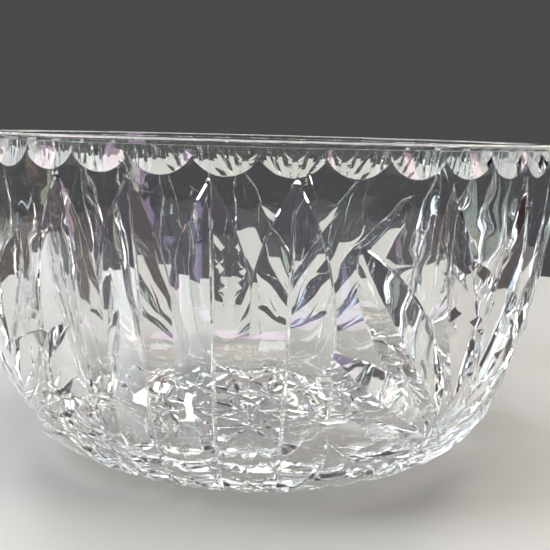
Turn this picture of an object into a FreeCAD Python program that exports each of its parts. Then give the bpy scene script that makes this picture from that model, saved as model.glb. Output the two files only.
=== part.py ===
"""Cut-glass serving bowl, one piece of clear glass.

Frame: millimetres, +Z up, origin at the centre of the flat foot. The blank is
turned from one outline. Its wall is then cut: a row of thumbprints under the
lip, upright spears, three fans of leaves with a crossed diamond field between
them, and a row of shallow facets round the heel.
"""
import FreeCAD, Part
import math
import os
import Sketcher
from FreeCAD import Vector

DRIVING_SIZES = (
    # outline of the blank
    ("rim_radius", 100.0),
    ("bowl_height", 104.0),
    ("foot_radius", 58.0),
    ("heel_radius", 40.0),
    ("heel_start", 11.0),
    ("side_radius", 400.0),
    ("wall", 8.0),
    ("floor_thickness", 10.0),
    ("inner_heel_radius", 31.0),
    ("lip_round", 0.8),
    # thumbprints under the lip
    ("print_count", 39),
    ("print_phase", -18.4),
    ("print_ball", 25.0),
    ("print_depth", 2.4),
    ("print_rise", 2.6),
    ("lip_height", 1.7),
    # mitre cuts
    ("repeat_count", 3),
    ("columns", 30),
    ("column_phase", -30.7),
    ("mitre_slope", 13.5),
    ("spear_top", 94.0),
    ("spear_depth", 3.5),
    ("leaf_depth", 3.2),
    ("leaf_slope", 20.0),
    ("small_leaf_depth", 1.6),
    ("diamond_depth", 1.8),
    ("diamond_slope", 24.0),
    ("diamond_pitch", 13.0),
    # facets round the heel
    ("heel_ball", 150.0),
    ("heel_facet_depth", 0.9),
    ("heel_facet_slope", 28.0),
)

# Fan leaves as (column, height) of the tip and of the middle of the leaf. The
# columns count from the first spear of a plain panel, the fan axis is at 6.5.
FAN_AXIS = 6.5
FAN_FOOT_HEIGHT = 9.0
FAN_LEAVES = (
    ((3.38, 32.5), (4.90, 19.0)),
    ((3.53, 51.0), (4.65, 32.0)),
    ((3.82, 78.6), (4.75, 50.0)),
    ((5.02, 92.0), (5.50, 54.0)),
    ((6.50, 93.0), (6.50, 52.0)),
)
SMALL_LEAVES = (
    ((3.70, 44.5), (4.35, 27.0)),
    ((4.30, 59.5), (4.85, 38.0)),
)
PLAIN_SPEARS = 4
SPEAR_FOOT_HEIGHT = 5.0
SPEAR_RUNOUT = 12.0
DIAMOND_TOP = 66.0
DIAMOND_ROWS = 4
DIAMOND_REACH = 1.25

# A cutter is full at half its length. It stands this far out of the wall, and
# its ends lift off the wall by the skim.
CUTTER_PROUD = 2.0
CUTTER_SKIM = 0.3


class Outline:
    """Outer outline of the blank: heel arc, then side arc up to the rim."""

    def __init__(self, value):
        self.start = math.radians(value["heel_start"])
        self.heel = value["heel_radius"]
        self.side = value["side_radius"]
        self.heel_x = value["foot_radius"] - self.heel * math.sin(self.start)
        self.heel_z = self.heel * math.cos(self.start)
        # The side arc passes through the rim and touches the heel arc inside.
        reach = self.side - self.heel
        across = self.heel_x - value["rim_radius"]
        up = self.heel_z - value["bowl_height"]
        gap = math.hypot(across, up)
        along = (gap * gap + self.side ** 2 - reach ** 2) / (2.0 * gap)
        off = math.sqrt(self.side ** 2 - along ** 2)
        self.side_x = value["rim_radius"] + (along * across + off * up) / gap
        self.side_z = value["bowl_height"] + (along * up - off * across) / gap
        self.knee = math.atan2(self.heel_z - self.side_z, self.heel_x - self.side_x)
        self.knee_z = self.side_z + self.side * math.sin(self.knee)

    def at_height(self, height):
        """Radius and outward unit normal (radial, up) at a height."""
        if height >= self.knee_z:
            centre_x, centre_z, radius = self.side_x, self.side_z, self.side
        else:
            centre_x, centre_z, radius = self.heel_x, self.heel_z, self.heel
        up = (height - centre_z) / radius
        out = math.sqrt(max(0.0, 1.0 - up * up))
        return centre_x + radius * out, out, up


def make_sheet(doc):
    sheet = doc.addObject("Spreadsheet::Sheet", "sizes")
    for row, (name, number) in enumerate(DRIVING_SIZES, start=1):
        sheet.set("A%d" % row, name)
        sheet.set("B%d" % row, repr(number))
        sheet.setAlias("B%d" % row, name)
    doc.recompute()
    return sheet


def origin_plane(body, role):
    return next(item for item in body.Origin.OriginFeatures if item.Role == role)


def bind(sketch, kind, places, start_value, expression):
    index = sketch.addConstraint(Sketcher.Constraint(kind, *places, start_value))
    sketch.setExpression("Constraints[%d]" % index, expression)


def blank_outline(body, value, outline):
    """Closed half section of the turned blank, in the XZ plane."""
    sketch = body.newObject("Sketcher::SketchObject", "BlankOutline")
    sketch.AttachmentSupport = [(origin_plane(body, "XZ_Plane"), "")]
    sketch.MapMode = "FlatFace"

    floor = value["floor_thickness"]
    inner_side = value["side_radius"] - value["wall"]
    inner_heel = value["inner_heel_radius"]
    rise = (value["bowl_height"] - outline.side_z) / inner_side
    inner_rim_x = outline.side_x + inner_side * math.sqrt(1.0 - rise * rise)
    heel_z = floor + inner_heel
    drop = heel_z - outline.side_z
    heel_x = outline.side_x + math.sqrt((inner_side - inner_heel) ** 2 - drop ** 2)
    inner_knee = math.atan2(drop, heel_x - outline.side_x)

    def arc(centre_x, centre_z, radius, low, high):
        circle = Part.Circle(Vector(centre_x, centre_z, 0), Vector(0, 0, 1), radius)
        return Part.ArcOfCircle(circle, low, high)

    rim_angle = math.asin((value["bowl_height"] - outline.side_z) / outline.side)
    foot_angle = outline.start - math.pi / 2.0
    foot = Vector(value["foot_radius"], 0, 0)
    rim = Vector(value["rim_radius"], value["bowl_height"], 0)
    inner_rim = Vector(inner_rim_x, value["bowl_height"], 0)
    floor_edge = Vector(heel_x, floor, 0)
    floor_centre = Vector(0, floor, 0)
    pieces = (
        Part.LineSegment(Vector(0, 0, 0), foot),
        arc(outline.heel_x, outline.heel_z, outline.heel, foot_angle, outline.knee),
        arc(outline.side_x, outline.side_z, outline.side, outline.knee, rim_angle),
        Part.LineSegment(rim, inner_rim),
        arc(outline.side_x, outline.side_z, inner_side, inner_knee, math.asin(rise)),
        arc(heel_x, heel_z, inner_heel, -math.pi / 2.0, inner_knee),
        Part.LineSegment(floor_edge, floor_centre),
        Part.LineSegment(floor_centre, Vector(0, 0, 0)),
    )
    under, heel, side, lip, bore, corner, inside, axis = sketch.addGeometry(list(pieces), False)

    def fix(kind, *places):
        sketch.addConstraint(Sketcher.Constraint(kind, *places))

    first, last, centre = 1, 2, 3
    fix("Coincident", under, first, -1, 1)
    fix("Horizontal", under)
    fix("Coincident", under, last, heel, first)
    fix("Tangent", heel, last, side, first)
    fix("Coincident", side, last, lip, first)
    fix("Horizontal", lip)
    fix("Coincident", lip, last, bore, last)
    fix("Coincident", bore, centre, side, centre)
    fix("Tangent", bore, first, corner, last)
    fix("Tangent", corner, first, inside, first)
    fix("Horizontal", inside)
    fix("Coincident", inside, last, axis, first)
    fix("Coincident", axis, last, -1, 1)
    fix("Vertical", axis)

    bind(sketch, "DistanceX", (-1, 1, under, last), value["foot_radius"], "sizes.foot_radius")
    bind(sketch, "DistanceX", (-1, 1, heel, centre), outline.heel_x,
         "sizes.foot_radius - sizes.heel_radius * sin(sizes.heel_start)")
    bind(sketch, "Radius", (heel,), value["heel_radius"], "sizes.heel_radius")
    bind(sketch, "Radius", (side,), value["side_radius"], "sizes.side_radius")
    bind(sketch, "DistanceX", (-1, 1, lip, first), value["rim_radius"], "sizes.rim_radius")
    bind(sketch, "DistanceY", (-1, 1, lip, first), value["bowl_height"], "sizes.bowl_height")
    bind(sketch, "Radius", (bore,), inner_side, "sizes.side_radius - sizes.wall")
    bind(sketch, "Radius", (corner,), inner_heel, "sizes.inner_heel_radius")
    bind(sketch, "DistanceY", (-1, 1, inside, last), floor, "sizes.floor_thickness")
    return sketch


def turned_blank(doc, value, outline):
    """The blank turned from its outline, with a polished lip."""
    body = doc.addObject("PartDesign::Body", "TurnedBlank")
    body.Label = "turned_blank"
    sketch = blank_outline(body, value, outline)
    turn = body.newObject("PartDesign::Revolution", "Turn")
    turn.Profile = sketch
    turn.ReferenceAxis = (sketch, ["V_Axis"])
    turn.Angle = 360.0
    doc.recompute()

    height = value["bowl_height"]
    rim_edges = []
    for number, edge in enumerate(turn.Shape.Edges, start=1):
        if edge.BoundBox.ZMin > height - 0.01:
            rim_edges.append("Edge%d" % number)
    lip = body.newObject("PartDesign::Fillet", "PolishedLip")
    lip.Base = (turn, rim_edges)
    lip.Radius = value["lip_round"]
    lip.setExpression("Radius", "sizes.lip_round")
    doc.recompute()
    return body


def polar(radius, degrees, height):
    """Point at an angle from the front (-Y), turning towards +X."""
    angle = math.radians(degrees)
    return Vector(radius * math.sin(angle), -radius * math.cos(angle), height)


def mitre_solid(outline, stations, slope):
    """Wedge that a mitre wheel removes along a line on the outer wall.

    Each station is (degrees, height, depth below the wall). The wedge has its
    edge at that depth and opens outwards, each side sloping by `slope` degrees.
    """
    opening = 1.0 / math.tan(math.radians(slope))
    places = []
    for degrees, height, depth in stations:
        radius, out, up = outline.at_height(height)
        places.append((polar(radius, degrees, height), polar(out, degrees, up), depth))
    sections = []
    for index, (point, outward, depth) in enumerate(places):
        before = places[max(index - 1, 0)][0]
        after = places[min(index + 1, len(places) - 1)][0]
        across = (after - before).normalize().cross(outward).normalize()
        edge = point - outward * depth
        lift = max(depth, 0.0) + CUTTER_PROUD
        top = edge + outward * lift
        left = top - across * (lift * opening)
        right = top + across * (lift * opening)
        sections.append(Part.makePolygon([edge, right, left, edge]))
    return Part.makeLoft(sections, True, False)


def wheel_depth(fraction, full):
    """Depth of a cut that enters along a curve and is full half way down."""
    entry = min(2.0 * fraction, 1.0)
    return full * (1.0 - (1.0 - entry) ** 2)


def column_degrees(value, column):
    return value["column_phase"] + column * 360.0 / value["columns"]


def spear_stations(value, column):
    """Upright cut from its pointed top down and round the heel."""
    degrees = column_degrees(value, column)
    top = value["spear_top"]
    length = top - SPEAR_FOOT_HEIGHT
    stations = [(degrees, top + CUTTER_PROUD, -CUTTER_SKIM)]
    steps = 9
    for step in range(steps + 1):
        # The stations crowd towards the foot, where the wall curves most.
        fraction = (step / steps) ** 0.8
        height = top - length * fraction
        runout = min(1.0, length * (1.0 - fraction) / SPEAR_RUNOUT)
        depth = wheel_depth(fraction, value["spear_depth"]) * math.sqrt(runout)
        stations.append((degrees, height, depth))
    stations.append((degrees, SPEAR_FOOT_HEIGHT / 2.0, -CUTTER_SKIM))
    return stations


def leaf_stations(value, tip, middle, foot, full):
    """Curved leaf from its tip through its middle to the foot of the fan."""
    # The middle point lies on the curve, so its control point is doubled out.
    control = [2.0 * middle[axis] - 0.5 * (tip[axis] + foot[axis]) for axis in (0, 1)]
    steps = 6
    before_tip = -0.4 / steps
    stations = []
    for part in [before_tip] + [step / steps for step in range(steps + 1)]:
        near_tip = (1.0 - part) ** 2
        near_middle = 2.0 * part * (1.0 - part)
        near_foot = part * part
        column = near_tip * tip[0] + near_middle * control[0] + near_foot * foot[0]
        height = near_tip * tip[1] + near_middle * control[1] + near_foot * foot[1]
        if part < 0.0:
            depth = -CUTTER_SKIM
        else:
            depth = wheel_depth(part, full) * (1.0 - 0.5 * part ** 3)
        stations.append((column_degrees(value, column), height, depth))
    return stations


def diamond_stations(value, height, tilt):
    """Shallow slanting cut across the fan axis."""
    full = value["diamond_depth"]
    stations = []
    for side, depth in ((-1.0, -CUTTER_SKIM), (-0.5, full), (0.0, full), (0.5, full), (1.0, -CUTTER_SKIM)):
        column = FAN_AXIS + side * DIAMOND_REACH
        level = height + tilt * side * DIAMOND_REACH * value["diamond_pitch"]
        stations.append((column_degrees(value, column), level, depth))
    return stations


def mirrored(place):
    """The same (column, height) place on the other side of the fan axis."""
    return 2.0 * FAN_AXIS - place[0], place[1]


def leaf_solids(value, outline, tip, middle, foot, full):
    """One leaf and, off the axis, its mirror image."""
    solids = []
    places = [(tip, middle, foot)]
    if tip[0] != FAN_AXIS:
        places.append((mirrored(tip), mirrored(middle), mirrored(foot)))
    for place in places:
        stations = leaf_stations(value, *place, full)
        solids.append(mitre_solid(outline, stations, value["leaf_slope"]))
    return solids


def columns_of_third(value):
    """Columns between the middles of two plain panels."""
    first = PLAIN_SPEARS // 2
    return range(first, first + int(value["columns"] / value["repeat_count"]))


def mitre_cuts(value, outline):
    """All mitre cuts between the middles of two plain panels."""
    solids = []
    half = PLAIN_SPEARS // 2
    columns = columns_of_third(value)
    for column in list(columns[:half]) + list(columns[-half:]):
        stations = spear_stations(value, column)
        solids.append(mitre_solid(outline, stations, value["mitre_slope"]))
    foot = (FAN_AXIS, FAN_FOOT_HEIGHT)
    for tip, middle in FAN_LEAVES:
        solids += leaf_solids(value, outline, tip, middle, foot, value["leaf_depth"])
    for tip, middle in SMALL_LEAVES:
        end = (2.0 * middle[0] - tip[0], 2.0 * middle[1] - tip[1])
        solids += leaf_solids(value, outline, tip, middle, end, value["small_leaf_depth"])
    for row in range(DIAMOND_ROWS):
        height = DIAMOND_TOP - (row + 0.5) * value["diamond_pitch"]
        for tilt in (-1.0, 1.0):
            stations = diamond_stations(value, height, tilt)
            solids.append(mitre_solid(outline, stations, value["diamond_slope"]))
    return solids


def heel_facets(value, outline):
    """Large balls that leave a lens-shaped facet at the foot of each column."""
    slope = math.radians(value["heel_facet_slope"])
    ball = value["heel_ball"]
    height = outline.heel_z - outline.heel * math.cos(slope)
    radius, out, up = outline.at_height(height)
    reach = ball - value["heel_facet_depth"]
    solids = []
    for column in columns_of_third(value):
        degrees = column_degrees(value, column)
        centre = polar(radius, degrees, height) + polar(out, degrees, up) * reach
        solids.append(Part.makeSphere(ball, centre))
    return solids


def carved_third(blank, value, outline):
    """A third of the blank, from mid panel to mid panel, with its cuts."""
    sweep = 360.0 / value["repeat_count"]
    clear = 10.0
    wedge = Part.makeCylinder(value["rim_radius"] + clear, value["bowl_height"] + 2.0 * clear,
                              Vector(0, 0, -clear), Vector(0, 0, 1), sweep)
    middle_of_panel = (PLAIN_SPEARS - 1) / 2.0
    wedge.rotate(Vector(0, 0, 0), Vector(0, 0, 1), column_degrees(value, middle_of_panel) - 90.0)
    shape = blank.Shape.common(wedge)
    for solid in mitre_cuts(value, outline) + heel_facets(value, outline):
        shape = shape.cut(solid)
    return shape


def thumbprints(value, outline):
    """Balls that hollow the row of prints, cut off flat at the lip."""
    lip_line = value["bowl_height"] - value["lip_height"]
    ball = value["print_ball"]
    centre_height = lip_line + value["print_rise"]
    radius = outline.at_height(lip_line)[0]
    top_latitude = -math.degrees(math.asin(value["print_rise"] / ball))
    solids = []
    count = int(value["print_count"])
    for number in range(count):
        degrees = value["print_phase"] + (number + 0.5) * 360.0 / count
        solid = Part.makeSphere(ball, Vector(0, 0, 0), Vector(0, 0, 1), -90, top_latitude, 360)
        solid.translate(polar(radius + ball - value["print_depth"], degrees, centre_height))
        solids.append(solid)
    return solids


def carved_wall(doc, blank, value, outline):
    """Three carved thirds joined into the whole wall."""
    third = carved_third(blank, value, outline)
    repeats = int(value["repeat_count"])
    thirds = []
    for number in range(repeats):
        feature = doc.addObject("Part::Feature", "CarvedThird")
        feature.Shape = third
        turn = FreeCAD.Rotation(Vector(0, 0, 1), number * 360.0 / repeats)
        feature.Placement = FreeCAD.Placement(Vector(0, 0, 0), turn)
        thirds.append(feature)
    wall = doc.addObject("Part::MultiFuse", "CarvedWall")
    wall.Shapes = thirds
    wall.Refine = True
    doc.recompute()
    return wall


def cut_bowl(doc, blank, value, outline):
    """The finished bowl: the carved wall less its thumbprints."""
    wall = carved_wall(doc, blank, value, outline)
    tool = doc.addObject("Part::Feature", "Thumbprints")
    tool.Shape = Part.makeCompound(thumbprints(value, outline))
    cut = doc.addObject("Part::Cut", "GlassBowl")
    cut.Base = wall
    cut.Tool = tool
    doc.recompute()
    cut.Label = "glass_bowl"
    return cut


def check(doc, node):
    for item in doc.Objects:
        if "Invalid" in item.State or "Error" in item.State:
            raise RuntimeError("%s failed: %s" % (item.Name, item.State))
    shape = node.Shape
    if shape.isNull() or not shape.isValid() or len(shape.Solids) != 1:
        raise RuntimeError("%s is not one valid solid" % node.Label)


def build():
    doc = FreeCAD.newDocument("CutGlassBowl")
    sheet = make_sheet(doc)
    value = {name: float(sheet.get(name)) for name, _ in DRIVING_SIZES}
    outline = Outline(value)
    blank = turned_blank(doc, value, outline)
    print("blank volume", round(blank.Shape.Volume), "valid", blank.Shape.isValid())
    bowl = cut_bowl(doc, blank, value, outline)
    check(doc, bowl)
    os.makedirs("parts", exist_ok=True)
    bowl.Shape.exportStep(os.path.join("parts", bowl.Label + ".step"))
    box = bowl.Shape.BoundBox
    print("glass_bowl", round(box.XLength, 2), round(box.YLength, 2), round(box.ZLength, 2),
          "z from", round(box.ZMin, 3), "volume", round(bowl.Shape.Volume))


build()
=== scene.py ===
import math

import bpy
import bmesh
from mathutils import Matrix, Vector


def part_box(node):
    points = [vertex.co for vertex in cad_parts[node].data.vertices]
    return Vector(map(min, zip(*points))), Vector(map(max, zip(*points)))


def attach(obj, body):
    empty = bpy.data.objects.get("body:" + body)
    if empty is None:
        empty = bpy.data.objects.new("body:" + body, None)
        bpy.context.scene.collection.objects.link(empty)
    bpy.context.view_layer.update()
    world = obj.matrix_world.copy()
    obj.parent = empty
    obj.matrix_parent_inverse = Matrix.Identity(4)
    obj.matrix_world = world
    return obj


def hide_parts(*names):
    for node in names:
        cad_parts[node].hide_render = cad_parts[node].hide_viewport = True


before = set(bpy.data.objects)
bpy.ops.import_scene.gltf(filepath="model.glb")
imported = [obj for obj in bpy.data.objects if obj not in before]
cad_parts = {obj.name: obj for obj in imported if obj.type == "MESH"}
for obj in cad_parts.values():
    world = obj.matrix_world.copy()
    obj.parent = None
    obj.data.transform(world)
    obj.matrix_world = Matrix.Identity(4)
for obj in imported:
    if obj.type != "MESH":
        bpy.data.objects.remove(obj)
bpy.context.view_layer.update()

# ---------------------------------------------------------------- sizes, metres
BOWL_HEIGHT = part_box("glass_bowl")[1][2]
RIM_RADIUS = 0.1
FOOT_RADIUS = 0.058
HEEL_RADIUS = 0.040
HEEL_START = math.radians(11.0)
SIDE_RADIUS = 0.400
WALL = 0.008
FLOOR_THICKNESS = 0.010
INNER_HEEL_RADIUS = 0.031
LIP_ROUND = 0.0008

BLANK_SEGMENTS = 300
FLAT_STEPS = 6
HEEL_STEPS = 26
SIDE_STEPS = 30
LIP_STEPS = 5
SHARP_ANGLE = math.radians(5.0)

PRINT_COUNT = 39
PRINT_PHASE = -18.4
PRINT_BALL = 0.025
PRINT_DEPTH = 0.0024
PRINT_RISE = 0.0026
PRINT_SEGMENTS = 96
PRINT_RINGS = 40
LIP_HEIGHT = 0.0017

REPEATS = 3
COLUMNS = 30
COLUMN_PHASE = -30.7
MITRE_SLOPE = 13.5
SPEAR_TOP = 0.094
SPEAR_DEPTH = 0.0035
ROOT_LINE_DEPTH = 0.00045
ROOT_LINE_SLOPE = 48.0
RIDGE_TOP = 0.071
LEAF_DEPTH = 0.0032
LEAF_SLOPE = 20.0
SMALL_LEAF_DEPTH = 0.0016
DIAMOND_DEPTH = 0.0018
DIAMOND_SLOPE = 24.0
DIAMOND_PITCH = 0.013
HEEL_BALL = 0.030
HEEL_FACET_DEPTH = 0.0011
HEEL_FACET_SLOPE = 28.0
HEEL_CAP = math.radians(25.0)
HEEL_LID = 0.004
HEEL_SEGMENTS = 48
HEEL_RINGS = 14
FOOT_CUT_RADIUS = 0.055
FOOT_CUT_DEPTH = 0.0022
FOOT_CUT_SLOPE = 24.0
FOOT_CUT_PITCH = 0.026
FOOT_CUT_LEVEL = 0.8

PLAIN_SPEARS = 4
SPEAR_FOOT = 0.005
SPEAR_RUNOUT = 0.012
SPEAR_CROWDING = 0.8
SPEAR_STEPS = 40
RIDGE_STEPS = 24
LEAF_STEPS = 30
LEAF_SKIM = 0.0004
LEAF_FADE = 0.5
DIAMOND_STEPS = 16
CUT_ENTRY = 0.5
CUTTER_PROUD = 0.002
CUTTER_SKIM = 0.0003
SHOULDER_STEP = 0.0005
SHOULDER_SLOPE = 42.0
NARROWEST_CUT = 0.0001
FAN_AXIS = 6.5
FAN_FOOT_HEIGHT = 0.009
FAN_LEAVES = (
    ((3.38, 0.0325), (4.90, 0.0190)),
    ((3.53, 0.0510), (4.65, 0.0320)),
    ((3.82, 0.0786), (4.75, 0.0500)),
    ((5.02, 0.0920), (5.50, 0.0540)),
    ((6.50, 0.0930), (6.50, 0.0520)),
)
SMALL_LEAVES = (
    ((3.70, 0.0445), (4.35, 0.0270)),
    ((4.30, 0.0595), (4.85, 0.0380)),
)
DIAMOND_TOP = 0.066
DIAMOND_ROWS = 4
DIAMOND_REACH = 1.25

# ---------------------------------------------------------------- glass and stage
GLASS_TINT = (0.985, 0.992, 0.988, 1.0)
GLASS_IOR = 1.54
FILM_NANOMETRES = 300.0
FILM_IOR = 1.43
ARRIS_ROUND = 0.0003
ARRIS_SAMPLES = 6
WAVE_SCALE = 70.0
WAVE_HEIGHT = 0.0003
HAZE_SCALE = 45.0
HAZE_FROM = 0.45
HAZE_TO = 0.80
HAZE_ROUGHNESS = 0.04

FLOOR_RADIUS = 0.42
FLOOR_MIDDLE = 0.2
FLOOR_SEGMENTS = 96
FLOOR_DROP = 0.0002
FLOOR_COLOUR = (0.72, 0.70, 0.67, 1.0)
FLOOR_ROUGHNESS = 0.5
ROOM_COLOUR = (0.50, 0.50, 0.52, 1.0)
ROOM_STRENGTH = 0.14
# name, place, width, height, watts, colour
SOFTBOXES = (
    ("window_left", (-1.0, -0.35, 0.75), 0.55, 0.90, 9.0, (0.90, 0.95, 1.0)),
    ("strip_right", (1.0, -0.45, 0.55), 0.22, 0.90, 4.0, (1.0, 0.94, 0.84)),
    ("window_above", (0.0, -0.15, 1.25), 0.75, 0.45, 7.0, (1.0, 0.99, 0.97)),
    ("strip_back_left", (-0.55, 0.80, 0.55), 0.16, 0.70, 3.0, (0.86, 0.92, 1.0)),
    ("strip_back_right", (0.60, 0.75, 0.55), 0.16, 0.70, 3.0, (1.0, 0.97, 0.90)),
)

SENSOR_WIDTH = 36.0
LENS = 56.684
SIDE_SHIFT = 0.03455
EYE_DISTANCE = 3.036 * RIM_RADIUS
EYE_RISE = 0.025 * RIM_RADIUS
EYE_PITCH = math.radians(9.57)
EYE_ROLL = math.radians(1.47)


# ---------------------------------------------------------------- outline
class Outline:
    """Outer outline: heel arc, then side arc up to the rim."""

    def __init__(self):
        self.heel_x = FOOT_RADIUS - HEEL_RADIUS * math.sin(HEEL_START)
        self.heel_z = HEEL_RADIUS * math.cos(HEEL_START)
        reach = SIDE_RADIUS - HEEL_RADIUS
        across = self.heel_x - RIM_RADIUS
        up = self.heel_z - BOWL_HEIGHT
        gap = math.hypot(across, up)
        along = (gap * gap + SIDE_RADIUS ** 2 - reach ** 2) / (2.0 * gap)
        off = math.sqrt(SIDE_RADIUS ** 2 - along ** 2)
        self.side_x = RIM_RADIUS + (along * across + off * up) / gap
        self.side_z = BOWL_HEIGHT + (along * up - off * across) / gap
        self.knee = math.atan2(self.heel_z - self.side_z, self.heel_x - self.side_x)
        self.knee_z = self.side_z + SIDE_RADIUS * math.sin(self.knee)

    def at_height(self, height):
        """Radius and outward unit normal (radial, up) at a height."""
        if height >= self.knee_z:
            centre_x, centre_z, radius = self.side_x, self.side_z, SIDE_RADIUS
        else:
            centre_x, centre_z, radius = self.heel_x, self.heel_z, HEEL_RADIUS
        up = (height - centre_z) / radius
        out = math.sqrt(max(0.0, 1.0 - up * up))
        return centre_x + radius * out, out, up


OUTLINE = Outline()


def arc_points(centre_x, centre_z, radius, start, end, steps):
    """Points (radius, height) along an arc, both ends included."""
    points = []
    for step in range(steps + 1):
        angle = start + (end - start) * step / steps
        points.append((centre_x + radius * math.cos(angle), centre_z + radius * math.sin(angle)))
    return points


def blank_outline():
    """Closed half section, from the axis under the foot round to the axis inside."""
    o = OUTLINE
    inner_side = SIDE_RADIUS - WALL
    rise = math.asin((BOWL_HEIGHT - o.side_z - LIP_ROUND) / SIDE_RADIUS)
    inner_rise = math.asin((BOWL_HEIGHT - o.side_z - LIP_ROUND) / inner_side)
    heel_z = FLOOR_THICKNESS + INNER_HEEL_RADIUS
    drop = heel_z - o.side_z
    heel_x = o.side_x + math.sqrt((inner_side - INNER_HEEL_RADIUS) ** 2 - drop ** 2)
    inner_knee = math.atan2(drop, heel_x - o.side_x)
    points = [(0.0, 0.0)]
    for step in range(1, FLAT_STEPS):
        points.append((FOOT_RADIUS * step / FLAT_STEPS, 0.0))
    heel_start = HEEL_START - math.pi / 2.0
    points += arc_points(o.heel_x, o.heel_z, HEEL_RADIUS, heel_start, o.knee, HEEL_STEPS)
    points += arc_points(o.side_x, o.side_z, SIDE_RADIUS, o.knee, rise, SIDE_STEPS)[1:]
    outer_lip = points[-1]
    inner = arc_points(o.side_x, o.side_z, inner_side, inner_rise, inner_knee, SIDE_STEPS)
    inner_lip = inner[0]
    centre_out = (outer_lip[0] - LIP_ROUND, outer_lip[1])
    centre_in = (inner_lip[0] + LIP_ROUND, inner_lip[1])
    points += arc_points(*centre_out, LIP_ROUND, 0.0, math.pi / 2.0, LIP_STEPS)[1:]
    points += arc_points(*centre_in, LIP_ROUND, math.pi / 2.0, math.pi, LIP_STEPS)[:-1]
    points += inner
    floor_angle = -math.pi / 2.0
    points += arc_points(heel_x, heel_z, INNER_HEEL_RADIUS, inner_knee, floor_angle, HEEL_STEPS)[1:]
    for step in range(FLAT_STEPS - 1, -1, -1):
        points.append((heel_x * step / FLAT_STEPS, FLOOR_THICKNESS))
    return points


def turned_mesh(name, outline, segments):
    """Mesh turned about Z from an outline; a point on the axis closes it with a pole."""
    bm = bmesh.new()
    rings = []
    for radius, height in outline:
        if radius < 1e-6:
            rings.append([bm.verts.new((0.0, 0.0, height))])
            continue
        ring = []
        for number in range(segments):
            angle = 2.0 * math.pi * number / segments
            ring.append(bm.verts.new((radius * math.cos(angle), radius * math.sin(angle), height)))
        rings.append(ring)
    for lower, upper in zip(rings, rings[1:]):
        for number in range(segments):
            after = (number + 1) % segments
            if len(lower) == 1:
                bm.faces.new((lower[0], upper[after], upper[number]))
            elif len(upper) == 1:
                bm.faces.new((lower[number], lower[after], upper[0]))
            else:
                bm.faces.new((lower[number], lower[after], upper[after], upper[number]))
    bmesh.ops.recalc_face_normals(bm, faces=bm.faces)
    mesh = bpy.data.meshes.new(name)
    bm.to_mesh(mesh)
    bm.free()
    return mesh


# ---------------------------------------------------------------- cutters
def polar(radius, degrees, height):
    """Point at an angle from the front (-Y), turning towards +X."""
    angle = math.radians(degrees)
    return Vector((radius * math.sin(angle), -radius * math.cos(angle), height))


def column_degrees(column):
    return COLUMN_PHASE + column * 360.0 / COLUMNS


def close_sections(bm, sections):
    """Walls between neighbouring sections and a lid on each end."""
    for first, second in zip(sections, sections[1:]):
        for corner in range(len(first)):
            other = (corner + 1) % len(first)
            bm.faces.new((first[corner], first[other], second[other], second[corner]))
    bm.faces.new(sections[0])
    bm.faces.new(list(reversed(sections[-1])))


def finished_cutter(bm):
    """Mesh of a cutter, in triangles that face outwards."""
    bmesh.ops.triangulate(bm, faces=bm.faces)
    bmesh.ops.recalc_face_normals(bm, faces=bm.faces)
    mesh = bpy.data.meshes.new("mitre_cut")
    bm.to_mesh(mesh)
    bm.free()
    return mesh


def turned(mesh, degrees):
    mesh.transform(Matrix.Rotation(math.radians(degrees), 4, "Z"))
    return mesh


def mitre_section(depth, slope, step, curve):
    """Corners (across, out) of a cutter's section, from its root round to the root again.

    With a step, the flanks stop short of the wall and a steeper shoulder outlines the cut.
    """
    rise = math.tan(math.radians(slope))
    root = -depth - step
    if step == 0.0:
        lift = max(depth, 0.0) + CUTTER_PROUD
        return (0.0, root), (lift / rise, root + lift), (-lift / rise, root + lift)
    width = (math.sqrt(rise * rise + 2.0 * max(depth, 0.0) * curve) - rise) / curve
    width = max(width, NARROWEST_CUT)
    shoulder = root + width * rise
    top = max(shoulder, 0.0) + CUTTER_PROUD
    reach = width + (top - shoulder) / math.tan(math.radians(SHOULDER_SLOPE))
    return (0.0, root), (width, shoulder), (reach, top), (-reach, top), (-width, shoulder)


def mitre_mesh(stations, slope, step=0.0):
    """Wedge that a mitre wheel removes; stations are (degrees, height, depth)."""
    places = []
    for degrees, height, depth in stations:
        radius, out, up = OUTLINE.at_height(height)
        places.append((polar(radius, degrees, height), polar(out, degrees, up), depth))
    bm = bmesh.new()
    sections = []
    for index, (point, outward, depth) in enumerate(places):
        before = places[max(index - 1, 0)][0]
        after = places[min(index + 1, len(places) - 1)][0]
        across = (after - before).normalized().cross(outward).normalized()
        level = across.z / math.hypot(outward.x, outward.y)
        wall_radius = math.hypot(point.x, point.y)
        curve = (1.0 - level * level) / wall_radius + level * level / SIDE_RADIUS
        corners = mitre_section(depth, slope, step, curve)
        places_round = [point + across * side + outward * lift for side, lift in corners]
        sections.append([bm.verts.new(place) for place in places_round])
    close_sections(bm, sections)
    return finished_cutter(bm)


def wheel_depth(fraction, full):
    """Depth of a cut that enters along a curve, up to its full depth."""
    entry = min(fraction / CUT_ENTRY, 1.0)
    return full * (1.0 - (1.0 - entry) ** 2)


def spear_depth(height):
    """Depth of a spear's root under the wall at a height."""
    fraction = (SPEAR_TOP - height) / (SPEAR_TOP - SPEAR_FOOT)
    runout = min(1.0, max(0.0, (height - SPEAR_FOOT) / SPEAR_RUNOUT))
    return wheel_depth(fraction, SPEAR_DEPTH) * math.sqrt(runout)


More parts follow.
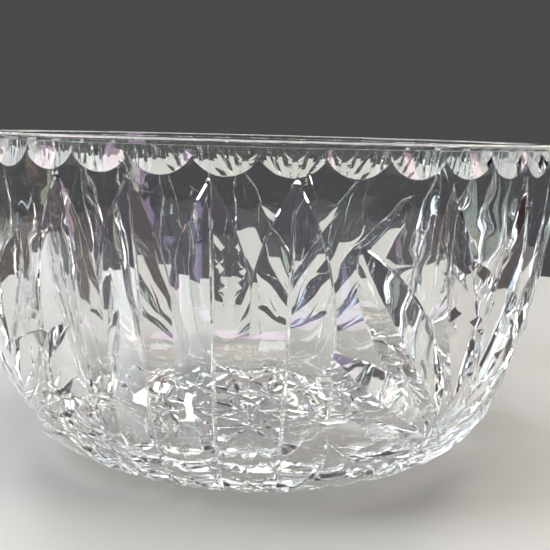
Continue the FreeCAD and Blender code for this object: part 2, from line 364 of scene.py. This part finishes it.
def spear_stations(column, extra=0.0):
    """Upright cut from its pointed top down and round the heel."""
    degrees = column_degrees(column)
    length = SPEAR_TOP - SPEAR_FOOT
    stations = [(degrees, SPEAR_TOP + CUTTER_PROUD, -CUTTER_SKIM)]
    for step in range(SPEAR_STEPS + 1):
        height = SPEAR_TOP - length * (step / SPEAR_STEPS) ** SPEAR_CROWDING
        stations.append((degrees, height, spear_depth(height) + extra))
    stations.append((degrees, SPEAR_FOOT / 2.0, -CUTTER_SKIM))
    return stations


def ridge_stations(column):
    """Fine line along the ridge between two spears, from their meeting point down."""
    degrees = column_degrees(column + 0.5)
    foot = SPEAR_FOOT + SPEAR_RUNOUT
    line_depth = SHOULDER_STEP + ROOT_LINE_DEPTH
    stations = [(degrees, RIDGE_TOP, -CUTTER_SKIM)]
    for step in range(RIDGE_STEPS + 1):
        height = RIDGE_TOP + (foot - RIDGE_TOP) * step / RIDGE_STEPS
        radius = OUTLINE.at_height(height)[0]
        half_pitch = radius * math.pi / COLUMNS
        ridge = spear_depth(height) - half_pitch * math.tan(math.radians(MITRE_SLOPE))
        stations.append((degrees, height, max(ridge, -CUTTER_SKIM) + line_depth))
    return stations


def leaf_stations(tip, middle, foot, full):
    """Curved cut from a leaf's tip through its middle to its foot, as (column, height)."""
    stations = []
    control = [2.0 * middle[axis] - 0.5 * (tip[axis] + foot[axis]) for axis in (0, 1)]
    for step in range(-1, LEAF_STEPS + 1):
        part = step / LEAF_STEPS
        weights = ((1.0 - part) ** 2, 2.0 * part * (1.0 - part), part * part)
        column = weights[0] * tip[0] + weights[1] * control[0] + weights[2] * foot[0]
        height = weights[0] * tip[1] + weights[1] * control[1] + weights[2] * foot[1]
        fade = 1.0 - LEAF_FADE * part ** 3
        depth = -LEAF_SKIM if step < 0 else wheel_depth(part, full) * fade
        stations.append((column_degrees(column), height, depth))
    return stations


def diamond_stations(height, tilt):
    """Slanting cut across the fan; two with opposite tilts leave diamonds between them."""
    stations = []
    for step in range(DIAMOND_STEPS + 1):
        side = -1.0 + 2.0 * step / DIAMOND_STEPS
        column = FAN_AXIS + side * DIAMOND_REACH
        level = height + tilt * side * DIAMOND_REACH * DIAMOND_PITCH
        depth = DIAMOND_DEPTH * (1.0 - side ** 4) - CUTTER_SKIM
        stations.append((column_degrees(column), level, depth))
    return stations


def mirrored(place):
    """The place (column, height) on the other side of the fan's axis."""
    return 2.0 * FAN_AXIS - place[0], place[1]


def third_cutters():
    """Mitre cuts of one third of the wall."""
    meshes = []
    for column in range(PLAIN_SPEARS):
        meshes.append(mitre_mesh(spear_stations(column), MITRE_SLOPE, SHOULDER_STEP))
        root_line = spear_stations(column, SHOULDER_STEP + ROOT_LINE_DEPTH)
        meshes.append(mitre_mesh(root_line, ROOT_LINE_SLOPE))
    for column in range(PLAIN_SPEARS - 1):
        meshes.append(mitre_mesh(ridge_stations(column), ROOT_LINE_SLOPE))
    foot = (FAN_AXIS, FAN_FOOT_HEIGHT)
    cuts = [(tip, middle, foot, LEAF_DEPTH) for tip, middle in FAN_LEAVES]
    for tip, middle in SMALL_LEAVES:
        end = (2.0 * middle[0] - tip[0], 2.0 * middle[1] - tip[1])
        cuts.append((tip, middle, end, SMALL_LEAF_DEPTH))
    for tip, middle, end, depth in cuts:
        places = [(tip, middle, end)]
        if tip[0] != FAN_AXIS:
            places.append((mirrored(tip), mirrored(middle), mirrored(end)))
        for place in places:
            meshes.append(mitre_mesh(leaf_stations(*place, depth), LEAF_SLOPE, SHOULDER_STEP))
    for row in range(DIAMOND_ROWS):
        height = DIAMOND_TOP - (row + 0.5) * DIAMOND_PITCH
        for tilt in (-1.0, 1.0):
            meshes.append(mitre_mesh(diamond_stations(height, tilt), DIAMOND_SLOPE))
    return meshes


def foot_stations(offset):
    """Places (along, depth) of a straight cut across the underside, at an offset from the axis."""
    half = math.sqrt(FOOT_CUT_RADIUS ** 2 - offset ** 2)
    level = FOOT_CUT_LEVEL * half
    return (
        (-half, -CUTTER_SKIM),
        (-level, FOOT_CUT_DEPTH),
        (level, FOOT_CUT_DEPTH),
        (half, -CUTTER_SKIM),
    )


def foot_mesh(offset, degrees):
    """Straight mitre cut in the flat underside, turned by an angle about the axis."""
    opening = 1.0 / math.tan(math.radians(FOOT_CUT_SLOPE))
    bm = bmesh.new()
    sections = []
    for along, depth in foot_stations(offset):
        lift = max(depth, 0.0) + CUTTER_PROUD
        side = lift * opening
        corners = ((0.0, depth), (side, depth - lift), (-side, depth - lift))
        places = [(offset + across, along, height) for across, height in corners]
        sections.append([bm.verts.new(place) for place in places])
    close_sections(bm, sections)
    return turned(finished_cutter(bm), degrees)


def foot_cutters():
    """Crossed cuts under the foot: a square grid and its diagonals meet in eight-point stars."""
    cutters = []
    for line in (0.5, 1.5):
        cutters.append((foot_mesh(line * FOOT_CUT_PITCH, 0.0), 4))
    cutters.append((foot_mesh(0.0, 45.0), 2))
    for line in (1.0, 2.0):
        cutters.append((foot_mesh(line * FOOT_CUT_PITCH / math.sqrt(2.0), 45.0), 4))
    return cutters


def cap_outline(radius, reach, rings, lid_rise):
    """Lower part of a ball, up to an angle from its lowest point, under a lid."""
    outline = [(0.0, -radius)]
    for step in range(1, rings + 1):
        angle = -math.pi / 2.0 + reach * step / rings
        outline.append((radius * math.cos(angle), radius * math.sin(angle)))
    outline.append((0.0, outline[-1][1] + lid_rise))
    return outline


def print_cutter():
    """Ball, flat on top at the lip's lower edge, that makes one thumbprint."""
    lip_line = BOWL_HEIGHT - LIP_HEIGHT
    radius = OUTLINE.at_height(lip_line)[0]
    turn = PRINT_PHASE + 180.0 / PRINT_COUNT
    reach = math.asin(-PRINT_RISE / PRINT_BALL) + math.pi / 2.0
    outline = cap_outline(PRINT_BALL, reach, PRINT_RINGS, 0.0)
    mesh = turned_mesh("thumbprint_cut", outline, PRINT_SEGMENTS)
    centre = polar(radius + PRINT_BALL - PRINT_DEPTH, turn, lip_line + PRINT_RISE)
    mesh.transform(Matrix.Translation(centre))
    return mesh


def heel_cutter():
    """Shallow cap of a ball, laid against the heel, that makes one facet."""
    slope = math.radians(HEEL_FACET_SLOPE)
    height = OUTLINE.heel_z - HEEL_RADIUS * math.cos(slope)
    radius, out, up = OUTLINE.at_height(height)
    degrees = column_degrees(0)
    outward = polar(out, degrees, up)
    point = polar(radius, degrees, height)
    outline = cap_outline(HEEL_BALL, HEEL_CAP, HEEL_RINGS, HEEL_LID)
    mesh = turned_mesh("heel_facet_cut", outline, HEEL_SEGMENTS)
    turn = Vector((0.0, 0.0, 1.0)).rotation_difference(outward).to_matrix().to_4x4()
    centre = point + outward * (HEEL_BALL - HEEL_FACET_DEPTH)
    mesh.transform(Matrix.Translation(centre) @ turn)
    return mesh


# ---------------------------------------------------------------- carving tree
def add_node(tree, kind, **settings):
    node = tree.nodes.new(kind)
    for name, value in settings.items():
        setattr(node, name, value)
    return node


def carving_tree():
    """Geometry Nodes: turns one cutter round the bowl and cuts it away at each turn."""
    tree = bpy.data.node_groups.new("carve_round", "GeometryNodeTree")
    face = tree.interface
    face.new_socket("Geometry", in_out="INPUT", socket_type="NodeSocketGeometry")
    face.new_socket("Cutter", in_out="INPUT", socket_type="NodeSocketObject")
    face.new_socket("Count", in_out="INPUT", socket_type="NodeSocketInt").default_value = REPEATS
    face.new_socket("Material", in_out="INPUT", socket_type="NodeSocketMaterial")
    face.new_socket("Geometry", in_out="OUTPUT", socket_type="NodeSocketGeometry")

    given = add_node(tree, "NodeGroupInput")
    cutter = add_node(tree, "GeometryNodeObjectInfo", transform_space="ORIGINAL")
    start = add_node(tree, "GeometryNodeRepeatInput")
    end = add_node(tree, "GeometryNodeRepeatOutput")
    start.pair_with_output(end)
    step = add_node(tree, "ShaderNodeMath", operation="DIVIDE")
    step.inputs[0].default_value = 2.0 * math.pi
    angle = add_node(tree, "ShaderNodeMath", operation="MULTIPLY")
    turn = add_node(tree, "ShaderNodeCombineXYZ")
    placed = add_node(tree, "GeometryNodeTransform")
    cut = add_node(tree, "GeometryNodeMeshBoolean", operation="DIFFERENCE", solver="MANIFOLD")
    real = add_node(tree, "GeometryNodeRealizeInstances")
    finish = add_node(tree, "GeometryNodeSetMaterial")
    result = add_node(tree, "NodeGroupOutput")

    link = tree.links.new
    link(given.outputs["Cutter"], cutter.inputs["Object"])
    link(given.outputs["Count"], start.inputs["Iterations"])
    link(given.outputs["Geometry"], start.inputs["Geometry"])
    link(given.outputs["Count"], step.inputs[1])
    link(start.outputs["Iteration"], angle.inputs[0])
    link(step.outputs[0], angle.inputs[1])
    link(angle.outputs[0], turn.inputs["Z"])
    link(cutter.outputs["Geometry"], placed.inputs["Geometry"])
    link(turn.outputs[0], placed.inputs["Rotation"])
    link(start.outputs["Geometry"], cut.inputs["Mesh 1"])
    link(placed.outputs["Geometry"], cut.inputs["Mesh 2"])
    link(cut.outputs["Mesh"], end.inputs["Geometry"])
    link(end.outputs["Geometry"], real.inputs["Geometry"])
    link(real.outputs["Geometry"], finish.inputs["Geometry"])
    link(given.outputs["Material"], finish.inputs["Material"])
    link(finish.outputs["Geometry"], result.inputs["Geometry"])
    return tree


def socket_id(tree, name):
    """Identifier of a named input of the tree."""
    return next(item.identifier for item in tree.interface.items_tree
                if item.name == name and item.in_out == "INPUT")


def new_object(name, mesh):
    piece = bpy.data.objects.new(name, mesh)
    bpy.context.scene.collection.objects.link(piece)
    return piece


def carved(blank_mesh, cutters, material):
    """Runs the carving tree once for each cutter and keeps the plain mesh."""
    tree = carving_tree()
    work = new_object("carving", blank_mesh)
    for mesh, count in cutters:
        cutter = new_object("cutter", mesh)
        modifier = work.modifiers.new("carve", "NODES")
        modifier.node_group = tree
        modifier[socket_id(tree, "Cutter")] = cutter
        modifier[socket_id(tree, "Count")] = count
        modifier[socket_id(tree, "Material")] = material
        view = bpy.context.evaluated_depsgraph_get()
        result = bpy.data.meshes.new_from_object(work.evaluated_get(view), depsgraph=view)
        work.modifiers.clear()
        work.data = result
        bpy.data.objects.remove(cutter)
    mesh = work.data
    bpy.data.objects.remove(work)
    return mesh


# ---------------------------------------------------------------- glass
def glass_material():
    """Clear lead glass: rounded arrises, slow waves of pressed glass and faint handling haze."""
    material = bpy.data.materials.new("polished_cut_glass")
    material.use_nodes = True
    tree = material.node_tree
    link = tree.links.new
    shader = tree.nodes["Principled BSDF"]
    shader.inputs["Base Color"].default_value = GLASS_TINT
    shader.inputs["Transmission Weight"].default_value = 1.0
    shader.inputs["IOR"].default_value = GLASS_IOR
    shader.inputs["Thin Film Thickness"].default_value = FILM_NANOMETRES
    shader.inputs["Thin Film IOR"].default_value = FILM_IOR
    place = add_node(tree, "ShaderNodeTexCoord")

    haze = add_node(tree, "ShaderNodeTexNoise")
    haze.inputs["Scale"].default_value = HAZE_SCALE
    spread = add_node(tree, "ShaderNodeMapRange")
    spread.inputs["From Min"].default_value = HAZE_FROM
    spread.inputs["From Max"].default_value = HAZE_TO
    spread.inputs["To Max"].default_value = HAZE_ROUGHNESS
    link(place.outputs["Object"], haze.inputs["Vector"])
    link(haze.outputs["Fac"], spread.inputs["Value"])
    link(spread.outputs["Result"], shader.inputs["Roughness"])

    arris = add_node(tree, "ShaderNodeBevel", samples=ARRIS_SAMPLES)
    arris.inputs["Radius"].default_value = ARRIS_ROUND
    wave = add_node(tree, "ShaderNodeTexNoise")
    wave.inputs["Scale"].default_value = WAVE_SCALE
    wave.inputs["Detail"].default_value = 1.0
    bump = add_node(tree, "ShaderNodeBump")
    bump.inputs["Strength"].default_value = 1.0
    bump.inputs["Distance"].default_value = WAVE_HEIGHT
    link(place.outputs["Object"], wave.inputs["Vector"])
    link(wave.outputs["Fac"], bump.inputs["Height"])
    link(arris.outputs["Normal"], bump.inputs["Normal"])
    link(bump.outputs["Normal"], shader.inputs["Normal"])
    return material


def shells(bm):
    """Faces of the mesh, grouped into closed shells."""
    found = []
    waiting = set(bm.faces)
    while waiting:
        shell = []
        front = [waiting.pop()]
        while front:
            face = front.pop()
            shell.append(face)
            for edge in face.edges:
                for other in edge.link_faces:
                    if other in waiting:
                        waiting.remove(other)
                        front.append(other)
        found.append(shell)
    return found


def without_chips(mesh):
    """Drops the thin chips that the cutters leave loose beside a ridge."""
    bm = bmesh.new()
    bm.from_mesh(mesh)
    parts = sorted(shells(bm), key=len)
    chips = [face for shell in parts[:-1] for face in shell]
    bmesh.ops.delete(bm, geom=chips, context="FACES")
    bm.to_mesh(mesh)
    bm.free()
    return mesh


def glass_bowl():
    """The whole bowl: the turned blank with every cut taken out of it."""
    glass = glass_material()
    blank = turned_mesh("blank", blank_outline(), BLANK_SEGMENTS)
    cutters = [(mesh, REPEATS) for mesh in third_cutters()]
    cutters.append((print_cutter(), PRINT_COUNT))
    cutters.append((heel_cutter(), COLUMNS))
    cutters += foot_cutters()
    mesh = without_chips(carved(blank, cutters, glass))
    mesh.shade_smooth()
    mesh.set_sharp_from_angle(angle=SHARP_ANGLE)
    mesh.materials.clear()
    mesh.materials.append(glass)
    return new_object("cut_glass_bowl", mesh)


# ---------------------------------------------------------------- stage
def softbox(name, place, wide, tall, power, colour):
    """Rectangular lamp aimed at the middle of the bowl."""
    light = bpy.data.lights.new(name, "AREA")
    light.shape = "RECTANGLE"
    light.size = wide
    light.size_y = tall
    light.energy = power
    light.color = colour
    lamp = bpy.data.objects.new(name, light)
    bpy.context.scene.collection.objects.link(lamp)
    lamp.location = place
    aim = Vector((0.0, 0.0, BOWL_HEIGHT / 2.0)) - Vector(place)
    lamp.rotation_euler = aim.to_track_quat("-Z", "Y").to_euler()


def floor_and_light():
    """Pale round floor, dim room and five lamps."""
    outline = [(radius, -FLOOR_DROP) for radius in (0.0, FLOOR_MIDDLE, FLOOR_RADIUS)]
    table = turned_mesh("pale_floor", outline, FLOOR_SEGMENTS)
    floor = new_object("pale_floor", table)
    paint = bpy.data.materials.new("pale_floor_paint")
    paint.use_nodes = True
    shader = paint.node_tree.nodes["Principled BSDF"]
    shader.inputs["Base Color"].default_value = FLOOR_COLOUR
    shader.inputs["Roughness"].default_value = FLOOR_ROUGHNESS
    table.materials.append(paint)

    world = bpy.data.worlds.new("soft_room")
    bpy.context.scene.world = world
    world.use_nodes = True
    back = world.node_tree.nodes["Background"]
    back.inputs["Color"].default_value = ROOM_COLOUR
    back.inputs["Strength"].default_value = ROOM_STRENGTH
    for settings in SOFTBOXES:
        softbox(*settings)


def camera():
    """Camera a little above the rim, looking down at the front."""
    data = bpy.data.cameras.new("camera")
    eye = bpy.data.objects.new("camera", data)
    bpy.context.scene.collection.objects.link(eye)
    data.sensor_width = SENSOR_WIDTH
    data.lens = LENS
    data.shift_x = SIDE_SHIFT
    data.clip_start = 0.01
    eye.location = (0.0, -EYE_DISTANCE, BOWL_HEIGHT + EYE_RISE)
    level = math.pi / 2.0
    look = Matrix.Rotation(level - EYE_PITCH, 4, "X") @ Matrix.Rotation(EYE_ROLL, 4, "Z")
    eye.rotation_euler = look.to_euler()
    bpy.context.scene.camera = eye


camera()
floor_and_light()
bowl = glass_bowl()
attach(bowl, "root")
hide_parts("glass_bowl")

scene = bpy.context.scene
scene.cycles.max_bounces = 24
scene.cycles.transmission_bounces = 24
scene.cycles.glossy_bounces = 12
scene.view_settings.view_transform = "Standard"
